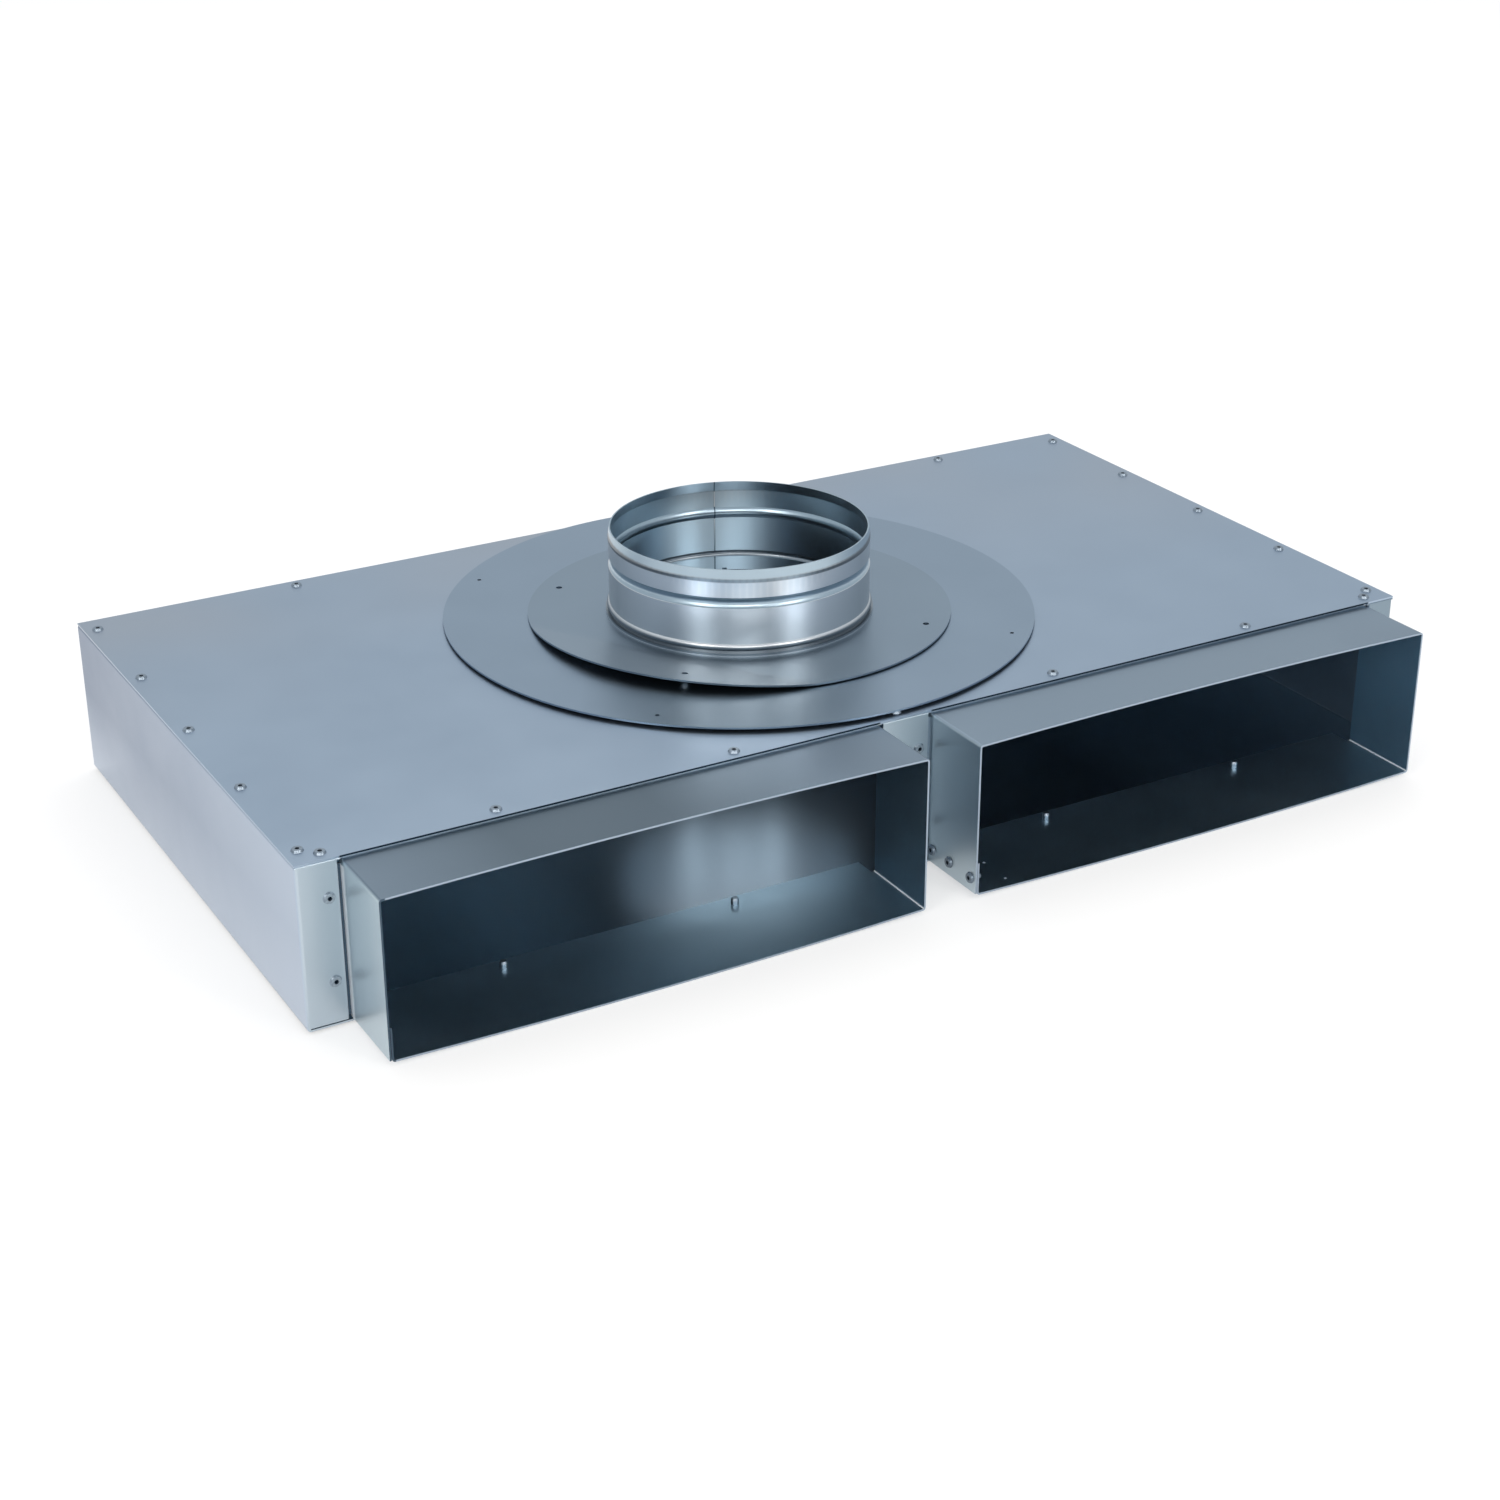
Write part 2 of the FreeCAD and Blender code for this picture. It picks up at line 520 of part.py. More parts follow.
# An outlet sleeve: one sheet folded to a flat tube that closes in a lap low on its left side.
# On the right sleeve the lap is riveted.
def make_sleeve(side):
    body = new_body(f"{side}_sleeve")
    left = SLEEVE_LEFT[side]
    ring = new_sketch(body, "ring", "XZ_Plane", x=left, y=f"{FRONT} + rim_flange", z="sheet")
    sleeve_ring(ring, bowed=False)
    pad(body, ring, "rim_flange")
    root = new_sketch(body, "root", "XZ_Plane", x=left, y=FRONT, z="sheet")
    sleeve_ring(root, bowed=False)
    mouth = new_sketch(body, "mouth", "XZ_Plane", x=left, y=f"{FRONT} - outlet_reach", z="sheet")
    sleeve_ring(mouth, bowed=True)
    reach = body.newObject("PartDesign::AdditiveLoft", f"{side}_sleeve_reach")
    reach.Profile = root
    reach.Sections = [mouth]
    reach.Ruled = True
    doc.recompute()
    right = f"({left} + outlet_width)"
    top_inner = f"{FLANGE_UNDER} - sheet"
    round_edges(body, "outer_folds", BEND_OUTSIDE, [
        ("y", [(left, FLANGE_UNDER), (right, FLANGE_UNDER)]),
        ("y", [(right, "sheet"), (f"{left} + {LAP}", "sheet")]),
    ])
    round_edges(body, "inner_folds", "bend_inside", [
        ("y", [(f"{left} + sheet", top_inner), (f"{right} - sheet", top_inner)]),
        ("y", [(f"{right} - sheet", "2 * sheet"), (f"{left} + {LAP_INNER}", "2 * sheet")]),
    ])
    trim = new_sketch(body, "tongues", "XZ_Plane", x=left, y=f"{FRONT} + 2 * sheet", z="sheet")
    edge = f"({BEND_OUTSIDE} + sheet + seam_gap)"
    outline(trim, [
        ("-sheet", "-sheet"),
        (edge, "-sheet"),
        (edge, "sheet"),
        (f"outlet_width - {edge}", "sheet"),
        (f"outlet_width - {edge}", "-sheet"),
        ("outlet_width + sheet", "-sheet"),
        ("outlet_width + sheet", f"{SLEEVE_HEIGHT} + sheet"),
        (f"outlet_width - {edge}", f"{SLEEVE_HEIGHT} + sheet"),
        (f"outlet_width - {edge}", f"{SLEEVE_HEIGHT} - sheet"),
        (edge, f"{SLEEVE_HEIGHT} - sheet"),
        (edge, f"{SLEEVE_HEIGHT} + sheet"),
        ("-sheet", f"{SLEEVE_HEIGHT} + sheet"),
    ])
    cut(body, trim, "rim_flange - 2 * sheet", way="forward")
    low = f"{BEND_OUTSIDE} + flange_end_gap"
    high = f"{SLEEVE_HEIGHT} - {BEND_OUTSIDE} - flange_end_gap"
    for name, start, end in (
        ("left", "-side_flange", "sheet"),
        ("right", "outlet_width - sheet", "outlet_width + side_flange"),
    ):
        flange = new_sketch(
            body, f"{name}_flange", "XZ_Plane", x=left, y=f"{FRONT} + sheet", z="sheet")
        rectangle(flange, start, low, end, high)
        pad(body, flange, "sheet", way="reverse")
    tongue_holes = new_sketch(body, "tongue_holes", "XY_Plane", z="box_height / 2")
    circles(tongue_holes, RIVET_HOLE, OUTLET_ROW[side])
    cut(body, tongue_holes, "2 * box_height")
    flange_holes = new_sketch(
        body, "flange_holes", "XZ_Plane", x=left, y=f"{FRONT} + sheet + sheet / 2")
    circles(flange_holes, RIVET_HOLE, [
        (x, z)
        for x in ("-strip_rivet_inset", "(outlet_width + strip_rivet_inset)")
        for z in ("strip_rivet_low", "strip_rivet_high")
    ])
    cut(body, flange_holes, "3 * sheet")
    if side == "right":
        seam_holes = new_sketch(body, "seam_holes", "YZ_Plane", x=f"{left} + {LAP}")
        circles(seam_holes, RIVET_HOLE, [(y, "(sheet + seam_rivet_height)") for y in SEAM_ROW])
        cut(body, seam_holes, "4 * sheet")
        pilots = new_sketch(body, "pilot_holes", "XY_Plane", x=left, z="sheet")
        circles(pilots, "pilot_hole", [
            ("pilot_inset", f"({FRONT} - pilot_front)"),
            ("pilot_inset", f"({FRONT} - pilot_back)"),
        ])
        cut(body, pilots, "3 * sheet")
    return body


def tilt(body, x, y, z, angle, heading):
    """Stands a body at a place, with one side raised."""
    places = {
        "Placement.Base.x": x,
        "Placement.Base.y": y,
        "Placement.Base.z": z,
        "Placement.Rotation.Axis.x": f"-cos({heading})",
        "Placement.Rotation.Axis.y": f"sin({heading})",
        "Placement.Rotation.Axis.z": "0",
        "Placement.Rotation.Angle": angle,
    }
    for path, text in places.items():
        body.setExpression(path, formula(text))


# The big stiffening plate is a flat disc.
def make_big_plate():
    body = new_body("big_plate_piece")
    plan = new_sketch(body, "plan", "XY_Plane")
    circles(plan, "big_plate", [("0", "0")])
    pad(body, plan, "sheet")
    pierce(body, "big_plate", HOLE_RIGHT, HOLE_BACK)
    return body


# The small stiffening plate is a disc with its front left side bent up a little.
def make_small_plate():
    body = new_body("small_plate_piece")
    section = new_sketch(body, "section", "XZ_Plane")
    turn = FreeCAD.Rotation(FreeCAD.Vector(0, 1, 0), value("270 - plate_bend_heading"))
    section.AttachmentOffset = FreeCAD.Placement(FreeCAD.Vector(0, 0, 0), turn)
    section.setExpression("AttachmentOffset.Rotation.Angle", formula("270 - plate_bend_heading"))
    reach = "(small_plate / 2 + sheet)"
    slope = "tan(plate_bend_angle)"
    bend_end = "(plate_bend + plate_bend_radius * sin(plate_bend_angle))"
    bend_rise = "(plate_bend_radius * (1 - cos(plate_bend_angle)))"
    upper_radius = "(plate_bend_radius - sheet)"
    upper_end = f"(plate_bend + {upper_radius} * sin(plate_bend_angle))"
    upper_rise = f"(sheet + {upper_radius} * (1 - cos(plate_bend_angle)))"
    edge_low = f"({bend_rise} + ({reach} - {bend_end}) * {slope})"
    outline(section, [
        (f"-{reach}", "0"),
        ("plate_bend", "0"),
        (bend_end, bend_rise, "plate_bend_radius", -1),
        (reach, edge_low),
        (reach, f"{edge_low} + sheet / cos(plate_bend_angle)"),
        (upper_end, upper_rise),
        ("plate_bend", "sheet", upper_radius, 1),
        (f"-{reach}", "sheet"),
    ])
    pad(body, section, f"2 * {reach}", way="both")
    rim = new_sketch(body, "rim", "XY_Plane")
    circles(rim, "2 * small_plate", [("0", "0")])
    circles(rim, "small_plate", [("0", "0")])
    cut(body, rim, "small_plate")
    pierce(body, "small_plate", "0", "0")
    return body


def pierce(body, diameter, right, back):
    """Cuts the collar's hole, off the middle by right and back, and four small empty holes."""
    middle = new_sketch(body, "collar_hole", "XY_Plane", x=right, y=back)
    circles(middle, COLLAR_HOLE, [("0", "0")])
    cut(body, middle, "3 * sheet")
    holes = new_sketch(body, "holes", "XY_Plane")
    places = ring_places(f"({diameter} - 2 * {diameter}_hole_inset)", PLATE_HOLE_COUNT)
    circles(holes, f"{diameter}_hole", places)
    cut(body, holes, diameter)


def seam_place(radius, side):
    """A corner of the collar's seam at a radius, on one side (-1) or the other (1) of it."""
    half = f"{side} * collar_seam_width / 2"
    return (
        f"({radius} * cos(collar_seam_turn) - {half} * sin(collar_seam_turn))",
        f"({radius} * sin(collar_seam_turn) + {half} * cos(collar_seam_turn))",
    )


# The collar: a rolled tube with a groove, a bead, a lead-in, a foot ring, tabs under the lid and
# a shallow seam line inside.
def make_collar():
    body = new_body("collar")
    outer = "(collar_diameter / 2)"
    inner = "(collar_diameter / 2 - collar_sheet)"
    foot = "sheet"
    bead_low = f"({foot} + bead_height - bead_width / 2)"
    bead_high = f"({foot} + bead_height + bead_width / 2)"
    groove_low = f"({foot} + groove_height - groove_width / 2)"
    groove_high = f"({foot} + groove_height + groove_width / 2)"
    lip_low = f"({foot} + collar_height - lip_height)"
    top = f"({foot} + collar_height)"
    bead_arc = arc_radius("bead_width", "bead_depth")
    groove_arc = arc_radius("groove_width", "groove_depth")
    tab_under = f"(-{TAB_DROP} - collar_sheet)"
    profile = new_sketch(body, "profile", "XZ_Plane")
    outline(profile, [
        (inner, tab_under),
        (f"{outer} + tab_length", tab_under),
        (f"{outer} + tab_length", f"-{TAB_DROP}"),
        (outer, f"-{TAB_DROP}"),
        (outer, foot),
        (f"{outer} + foot_ring", foot),
        (f"{outer} + foot_ring", f"{foot} + 2 * collar_sheet"),
        (outer, f"{foot} + 2 * collar_sheet"),
        (outer, bead_low),
        (outer, bead_high, bead_arc, -1),
        (outer, groove_low),
        (outer, groove_high, groove_arc, 1),
        (outer, lip_low),
        (f"{outer} - lip_taper", top),
        (f"{inner} - lip_taper", top),
        (inner, lip_low),
        (inner, groove_high),
        (inner, groove_low, groove_arc, -1),
        (inner, bead_high),
        (inner, bead_low, bead_arc, 1),
    ])
    tube = body.newObject("PartDesign::Revolution", "collar_tube")
    tube.Profile = profile
    tube.ReferenceAxis = (profile, ["V_Axis"])
    tube.Angle = 360
    doc.recompute()
    for name, low, high in (("low", bead_high, groove_low), ("high", groove_high, lip_low)):
        seam = new_sketch(body, f"{name}_seam", "XY_Plane", z=f"({low} + {high}) / 2")
        outline(seam, [
            seam_place(f"({inner} - collar_sheet)", -1),
            seam_place(f"({inner} + collar_seam_depth)", -1),
            seam_place(f"({inner} + collar_seam_depth)", 1),
            seam_place(f"({inner} - collar_sheet)", 1),
        ])
        cut(body, seam, f"{high} - {low} - 2 * collar_seam_land")
    slot = new_sketch(body, "tab_slot", "XY_Plane", z=f"-{TAB_DROP} - collar_sheet / 2")
    rectangle(
        slot,
        f"{outer} - 2 * collar_sheet",
        "-tab_slot / 2",
        f"{outer} + tab_length + sheet",
        "tab_slot / 2",
    )
    slot_cut = cut(body, slot, "2 * collar_sheet")
    ring = body.newObject("PartDesign::PolarPattern", "collar_tabs")
    ring.Originals = [slot_cut]
    ring.Axis = (profile, ["V_Axis"])
    ring.Angle = 360
    ring.Occurrences = TAB_COUNT
    body.Tip = ring
    doc.recompute()
    return body


# A blind rivet that has been set: head up at z = 0, the sheets below it, then the tail.
def make_rivet(label, grip):
    body = new_body(label)
    end = f"(-{grip} - rivet_tail_length)"
    shoulder = "(rivet_head / 2 - rivet_head_height / 2)"
    profile = new_sketch(body, "profile", "XZ_Plane")
    outline(profile, [
        ("0", end),
        ("rivet_shank / 2", end),
        ("rivet_tail / 2", f"{end} + rivet_tail_length / 3"),
        ("rivet_tail / 2", f"-{grip}"),
        ("rivet_shank / 2", f"-{grip}"),
        ("rivet_shank / 2", "0"),
        ("rivet_head / 2", "0"),
        (shoulder, "rivet_head_height"),
        ("rivet_dimple / 2", "rivet_head_height"),
        ("rivet_dimple / 2", "rivet_head_height - rivet_dimple_depth"),
        ("0", "rivet_head_height - rivet_dimple_depth"),
    ])
    turn = body.newObject("PartDesign::Revolution", label + "_turn")
    turn.Profile = profile
    turn.ReferenceAxis = (profile, ["V_Axis"])
    turn.Angle = 360
    doc.recompute()
    return body


# The ways a rivet head can face, each as an axis and an angle.
FACING = {
    "up": ((1, 0, 0), 0),
    "down": ((1, 0, 0), 180),
    "front": ((1, 0, 0), 90),
    "left": ((0, 1, 0), -90),
}


def make_rivet_group(label, rivet, facing, places):
    """Copies of one rivet at places given as three formulas, kept together as one piece."""
    axis, angle = FACING[facing]
    turn = FreeCAD.Rotation(FreeCAD.Vector(*axis), angle)
    links = []
    for number, place in enumerate(places, 1):
        link = doc.addObject("App::Link", f"{label}_{number}")
        link.LinkedObject = rivet
        link.Placement = FreeCAD.Placement(FreeCAD.Vector(0, 0, 0), turn)
        for letter, text in zip("xyz", place):
            link.setExpression(f"Placement.Base.{letter}", formula(text))
        links.append(link)
    group = doc.addObject("Part::Compound", label)
    group.Label = label
    group.Links = links
    return group


pieces = [make_tray(), make_lid(), make_front_rail(), make_sleeve("left"), make_sleeve("right")]
big_plate = make_big_plate()
big_plate.Label = "big_plate"
tilt(big_plate, "big_plate_right", "plate_edge", BIG_PLATE_Z, "big_plate_tilt", "big_plate_heading")
small_plate = make_small_plate()
small_plate.Label = "small_plate"
collar = make_collar()
for piece in (small_plate, collar):
    tilt(
        piece,
        "collar_right",
        "collar_back",
        SMALL_PLATE_Z,
        "small_plate_tilt",
        "small_plate_heading",
    )
pieces += [big_plate, small_plate, collar]

short_rivet = make_rivet("short_rivet", "(2 * sheet)")
long_rivet = make_rivet("long_rivet", "(3 * sheet)")
seam_rivet = make_rivet("seam_rivet", "(2 * sheet + seam_gap)")
LID_GROUPS = (
    ("lid_side_rivets", short_rivet, SIDE_ROW),
    ("lid_back_rivets", short_rivet, BACK_ROW),
    ("lid_front_rivets", short_rivet, FRONT_ROW),
    ("lid_outlet_rivets", long_rivet, OUTLET_ROWS),
)
STRIP_GROUPS = (("side_strip_rivets", "tray"), ("middle_strip_rivets", "rail"))
for label, rivet, places in LID_GROUPS:
    spots = [(x, y, "box_height") for x, y in places]
    pieces.append(make_rivet_group(label, rivet, "up", spots))
spots = [(x, y, "0") for x, y in OUTLET_ROWS]
pieces.append(make_rivet_group("floor_rivets", short_rivet, "down", spots))
for label, piece in STRIP_GROUPS:
    spots = [(x, FRONT, z) for x, z in STRIP_ROWS[piece]]
    pieces.append(make_rivet_group(label, short_rivet, "front", spots))
spots = [(SLEEVE_LEFT["right"], y, "sheet + seam_rivet_height") for y in SEAM_ROW]
pieces.append(make_rivet_group("right_seam_rivets", seam_rivet, "left", spots))

doc.recompute()
for item in doc.Objects:
    if item.State and any(word in ("Invalid", "Error") for word in item.State):
        raise ValueError(f"{item.Name} failed: {item.State}")
for piece in pieces:
    check(piece)

os.makedirs("parts", exist_ok=True)
for piece in pieces:
    piece.Shape.exportStep(os.path.join("parts", piece.Label + ".step"))
    print(piece.Label, len(piece.Shape.Solids), round(piece.Shape.Volume, 1))
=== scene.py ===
import math
import bpy
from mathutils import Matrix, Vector


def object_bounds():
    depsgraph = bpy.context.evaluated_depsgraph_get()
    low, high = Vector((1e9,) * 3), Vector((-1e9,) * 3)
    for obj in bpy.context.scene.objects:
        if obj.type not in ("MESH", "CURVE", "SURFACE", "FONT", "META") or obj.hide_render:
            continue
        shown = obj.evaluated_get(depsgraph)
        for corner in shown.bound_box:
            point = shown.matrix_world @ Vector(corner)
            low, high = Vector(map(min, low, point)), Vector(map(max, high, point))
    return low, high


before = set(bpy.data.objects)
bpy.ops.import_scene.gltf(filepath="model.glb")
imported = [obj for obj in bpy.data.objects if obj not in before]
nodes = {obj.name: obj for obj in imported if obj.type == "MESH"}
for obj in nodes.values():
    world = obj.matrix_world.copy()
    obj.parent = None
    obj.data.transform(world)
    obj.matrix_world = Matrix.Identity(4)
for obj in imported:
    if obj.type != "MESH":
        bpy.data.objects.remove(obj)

cad_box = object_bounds()


# Places on the part, in metres, and ways in plan

# The ends of both outlets along the front: left outlet, then right outlet.
OUTLET_ENDS = (-0.3167, -0.0137, 0.0175, 0.3205)
COLLAR_AXIS = (-0.0022, -0.0007, 0.0)
# The turn of the collar's inner seam, in degrees from the right towards the back.
COLLAR_SEAM = 72.0
# The middle of the collar's front, turned 29.6 degrees from -Y to the left, which is the side that the
# photograph shows, and the way across it.
# This way places the painted light on the collar's front and the painted shade on the plates.
COLLAR_FRONT = (-0.494, -0.870, 0.0)
COLLAR_SIDE = (0.870, -0.494, 0.0)
# A vector times this lies flat.
PLAN = (1.0, 1.0, 0.0)

# The part of a face's normal along an axis from which a tint for that way begins, and where it is full.
FACING = (0.5, 0.9)
# The heights between which a face is taken for a floor's upper side.
FLOOR_TOP = (0.012, 0.008)
# The colour of the painted light on the sleeves' floors and the lid's underside.
PAINTED_LIGHT_INSIDE = "#BCD2DF"


# Node helpers

def linear(code):
    """The linear colour of an sRGB hex code, by the standard's own curve."""
    channels = [int(code[i:i + 2], 16) / 255 for i in (1, 3, 5)]
    curve = [c / 12.92 if c <= 0.04045 else ((c + 0.055) / 1.055) ** 2.4 for c in channels]
    return (*curve, 1.0)


def millimetres(size):
    """The scale that makes a texture's cells about that many millimetres wide."""
    return 1000.0 / size


def new_material(name):
    """An empty material and its node tree."""
    material = bpy.data.materials.new(name)
    material.use_nodes = True
    material.node_tree.nodes.clear()
    return material, material.node_tree


def add_node(tree, kind, inputs=None, **settings):
    """Adds a node. Settings are its own options, inputs are socket values or the outputs linked to them."""
    made = tree.nodes.new(kind)
    for name, value in settings.items():
        setattr(made, name, value)
    for key, value in (inputs or {}).items():
        if isinstance(value, bpy.types.NodeSocket):
            tree.links.new(value, made.inputs[key])
        else:
            made.inputs[key].default_value = value
    return made


def number(tree, operation, first, second=0.0):
    """The result of one step of arithmetic."""
    return add_node(tree, "ShaderNodeMath", {0: first, 1: second}, operation=operation).outputs["Value"]


def product(tree, first, second):
    """Two factors multiplied."""
    return number(tree, "MULTIPLY", first, second)


def apart(tree, value, place):
    """How far a coordinate is from a place on its axis."""
    return number(tree, "ABSOLUTE", number(tree, "SUBTRACT", value, place))


def clamped(tree, value, start, end):
    """A factor that goes from 0 at the start value to 1 at the end value."""
    return add_node(tree, "ShaderNodeMapRange", {
        "Value": value, "From Min": start, "From Max": end, "To Min": 0.0, "To Max": 1.0}).outputs["Result"]


def facing(tree, component, sign=1):
    """A factor that is 1 where a face looks along the axis of that part of its normal, by its sign."""
    return clamped(tree, component, sign * FACING[0], sign * FACING[1])


def blend(tree, factor, first, second):
    """A colour between the first, at factor 0, and the second, at factor 1."""
    return add_node(tree, "ShaderNodeMix", {
        "Factor": factor, "A": first, "B": second}, data_type="RGBA").outputs["Result"]


def level(tree, factor, first, second):
    """A number between the first, at factor 0, and the second, at factor 1."""
    return add_node(tree, "ShaderNodeMix", {
        "Factor": factor, "A": first, "B": second}, data_type="FLOAT").outputs["Result"]


def split(tree, vector):
    """The X, Y and Z of a vector."""
    return add_node(tree, "ShaderNodeSeparateXYZ", {"Vector": vector}).outputs


def dot(tree, first, second):
    """How far the first vector reaches along the second."""
    return add_node(tree, "ShaderNodeVectorMath", {
        0: first, 1: second}, operation="DOT_PRODUCT").outputs["Value"]


def from_collar(tree, place):
    """The way from the collar's axis to a place, in plan."""
    across = add_node(tree, "ShaderNodeVectorMath", {0: place, 1: COLLAR_AXIS}, operation="SUBTRACT")
    return add_node(tree, "ShaderNodeVectorMath", {
        0: across.outputs["Vector"], 1: PLAN}, operation="MULTIPLY").outputs["Vector"]


def stretched(tree, place, sizes, turn=0.0):
    """A place for textures whose cells are as wide as the three sizes in millimetres, turned in plan."""
    return add_node(tree, "ShaderNodeMapping", {
        "Vector": place, "Rotation": (0.0, 0.0, math.radians(turn)),
        "Scale": tuple(millimetres(size) for size in sizes)}).outputs["Vector"]


def noise(tree, place, scale, detail, roughness=0.5):
    """A cloudy pattern between 0 and 1."""
    return add_node(tree, "ShaderNodeTexNoise", {
        "Vector": place, "Scale": scale, "Detail": detail, "Roughness": roughness}).outputs["Fac"]


def bump(tree, height, strength, distance, under=None):
    """A normal that stands for small heights, added to the normal under it where there is one."""
    inputs = {"Height": height, "Strength": strength, "Distance": distance}
    if under:
        inputs["Normal"] = under
    return add_node(tree, "ShaderNodeBump", inputs).outputs["Normal"]


def metal(tree, colour, roughness, normal, anisotropic=0.0):
    """Ends a material with a metallic surface, and returns its shader."""
    surface = add_node(tree, "ShaderNodeBsdfPrincipled", {
        "Base Color": colour, "Metallic": 1.0, "Roughness": roughness,
        "Anisotropic": anisotropic, "Normal": normal})
    add_node(tree, "ShaderNodeOutputMaterial", {"Surface": surface.outputs["BSDF"]})
    return surface


# Materials

def zinc_coated_sheet(name, light, dark, roughness, grain_turn, tint):
    """Hot-dip galvanised steel sheet, rolled flat after its zinc bath: a satin blue-grey face without
    spangle, faintly clouded, with a fine rolling grain that draws its reflections out along the sheet.
    The tint is a function that changes the clouded colour, with painted light and shade among its changes,
    and the roughness from place to place."""
    material, tree = new_material(name)
    texture = add_node(tree, "ShaderNodeTexCoord").outputs
    place = texture["Object"]
    # Clouds about 60 mm wide, which differ a little in tone and in roughness.
    clouds = noise(tree, place, millimetres(60), 4.0, 0.6)
    colour = blend(tree, clouds, linear(dark), linear(light))
    shine = add_node(tree, "ShaderNodeMapRange", {
        "Value": clouds, "From Min": 0.3, "From Max": 0.7,
        "To Min": roughness - 0.04, "To Max": roughness + 0.04}).outputs["Result"]
    colour, shine = tint(tree, colour, shine, place, texture["Normal"])
    # Waves about 4 mm wide, the faint orange peel of rolled zinc.
    peel = noise(tree, place, millimetres(4), 2.0)
    fine = bump(tree, peel, 0.03, 0.0002)
    # The rolling grain is about 0.8 mm wide and 40 mm long.
    grain = noise(tree, stretched(tree, place, (40, 0.8, 0.8), grain_turn), 1.0, 2.0)
    metal(tree, colour, shine, bump(tree, grain, 0.05, 0.0002, fine))
    return material


def over_outlets(tree, along):
    """A factor that is 1 over both outlets, by the place along the front, and 0 over the strips."""
    off = apart(tree, along, (OUTLET_ENDS[1] + OUTLET_ENDS[2]) / 2)
    inner = (OUTLET_ENDS[2] - OUTLET_ENDS[1]) / 2
    outer = (OUTLET_ENDS[3] - OUTLET_ENDS[0]) / 2
    return product(tree, clamped(tree, off, inner, inner + 0.001), clamped(tree, off, outer + 0.001, outer))


def lid_tint(tree, colour, rough, place, normal):
    """Pinkish grey zones about 200 mm wide towards the back, painted shade on the cut edge at the front
    over both outlets, where no strip lies under it, and painted light on the underside."""
    where = split(tree, place)
    faces = split(tree, normal)
    zones = noise(tree, place, millimetres(200), 1.0)
    towards_back = clamped(tree, where["Y"], -0.06, 0.16)
    pink = product(tree, clamped(tree, zones, 0.35, 0.65), towards_back)
    colour = blend(tree, pink, colour, linear("#AFB7C2"))
    # Painted light brightens the underside.
    colour = blend(tree, facing(tree, faces["Z"], -1), colour, linear(PAINTED_LIGHT_INSIDE))
    # Painted shade darkens the cut edge at the front over both outlets.
    painted_shade_edge = product(tree, over_outlets(tree, where["X"]), facing(tree, faces["Y"], -1))
    return blend(tree, painted_shade_edge, colour, linear("#26333F")), rough


def tray_tint(tree, colour, rough, place, normal):
    """The tray's and the rail's tints. Painted shade darkens the walls that look left towards the back, and
    painted light brightens them towards the floor; painted shade darkens the fold along the floor and the
    right end strip, which is darker than the others, and the rail's edge over the outlets is darker too.
    Inside, the floor and the back wall are smoother and lightened with painted light, the floor less in
    its middle than towards both ends."""
    where = split(tree, place)
    faces = split(tree, normal)
    wall = facing(tree, faces["X"], -1)
    # Painted shade darkens the walls that look left towards the back.
    towards_back = product(tree, wall, clamped(tree, where["Y"], -0.17, 0.17))
    colour = blend(tree, towards_back, colour, linear("#7F8B9E"))
    # Painted light brightens them towards the floor.
    towards_floor = product(tree, wall, clamped(tree, where["Z"], 0.05, -0.02))
    colour = blend(tree, towards_floor, colour, linear("#C9D2DE"))

    # Painted light lightens the inside floor, more towards both ends than in its middle, and the back wall.
    floor = product(tree, facing(tree, faces["Z"]), clamped(tree, where["Z"], *FLOOR_TOP))
    to_front = facing(tree, faces["Y"], -1)
    back_wall = product(tree, to_front, clamped(tree, where["Y"], 0.0, 0.1))
    end = clamped(tree, number(tree, "ABSOLUTE", where["X"]), 0.16, 0.22)
    colour = blend(tree, floor, colour, blend(tree, end, linear("#A3ACB5"), linear("#C8E0EE")))
    colour = blend(tree, back_wall, colour, linear("#A0AAB2"))
    rough = level(tree, number(tree, "MAXIMUM", floor, back_wall), rough, 0.23)

    strips = product(tree, to_front, clamped(tree, where["Y"], -0.1, -0.16))
    # Painted shade darkens the right end strip.
    right_strip = clamped(tree, where["X"], 0.315, 0.32)
    colour = blend(tree, strips, colour, blend(tree, right_strip, linear("#BAC6CF"), linear("#8797A3")))
    above_outlets = product(tree, over_outlets(tree, where["X"]), clamped(tree, where["Z"], 0.0868, 0.0874))
    colour = blend(tree, product(tree, above_outlets, strips), colour, linear("#B4C0CA"))

    # Painted shade darkens the fold along the floor.
    painted_fold_line = product(tree, clamped(tree, faces["Z"], -0.15, -0.4), clamped(tree, where["Z"], 0.004, 0.003))
    return blend(tree, painted_fold_line, colour, linear("#3A4853")), rough


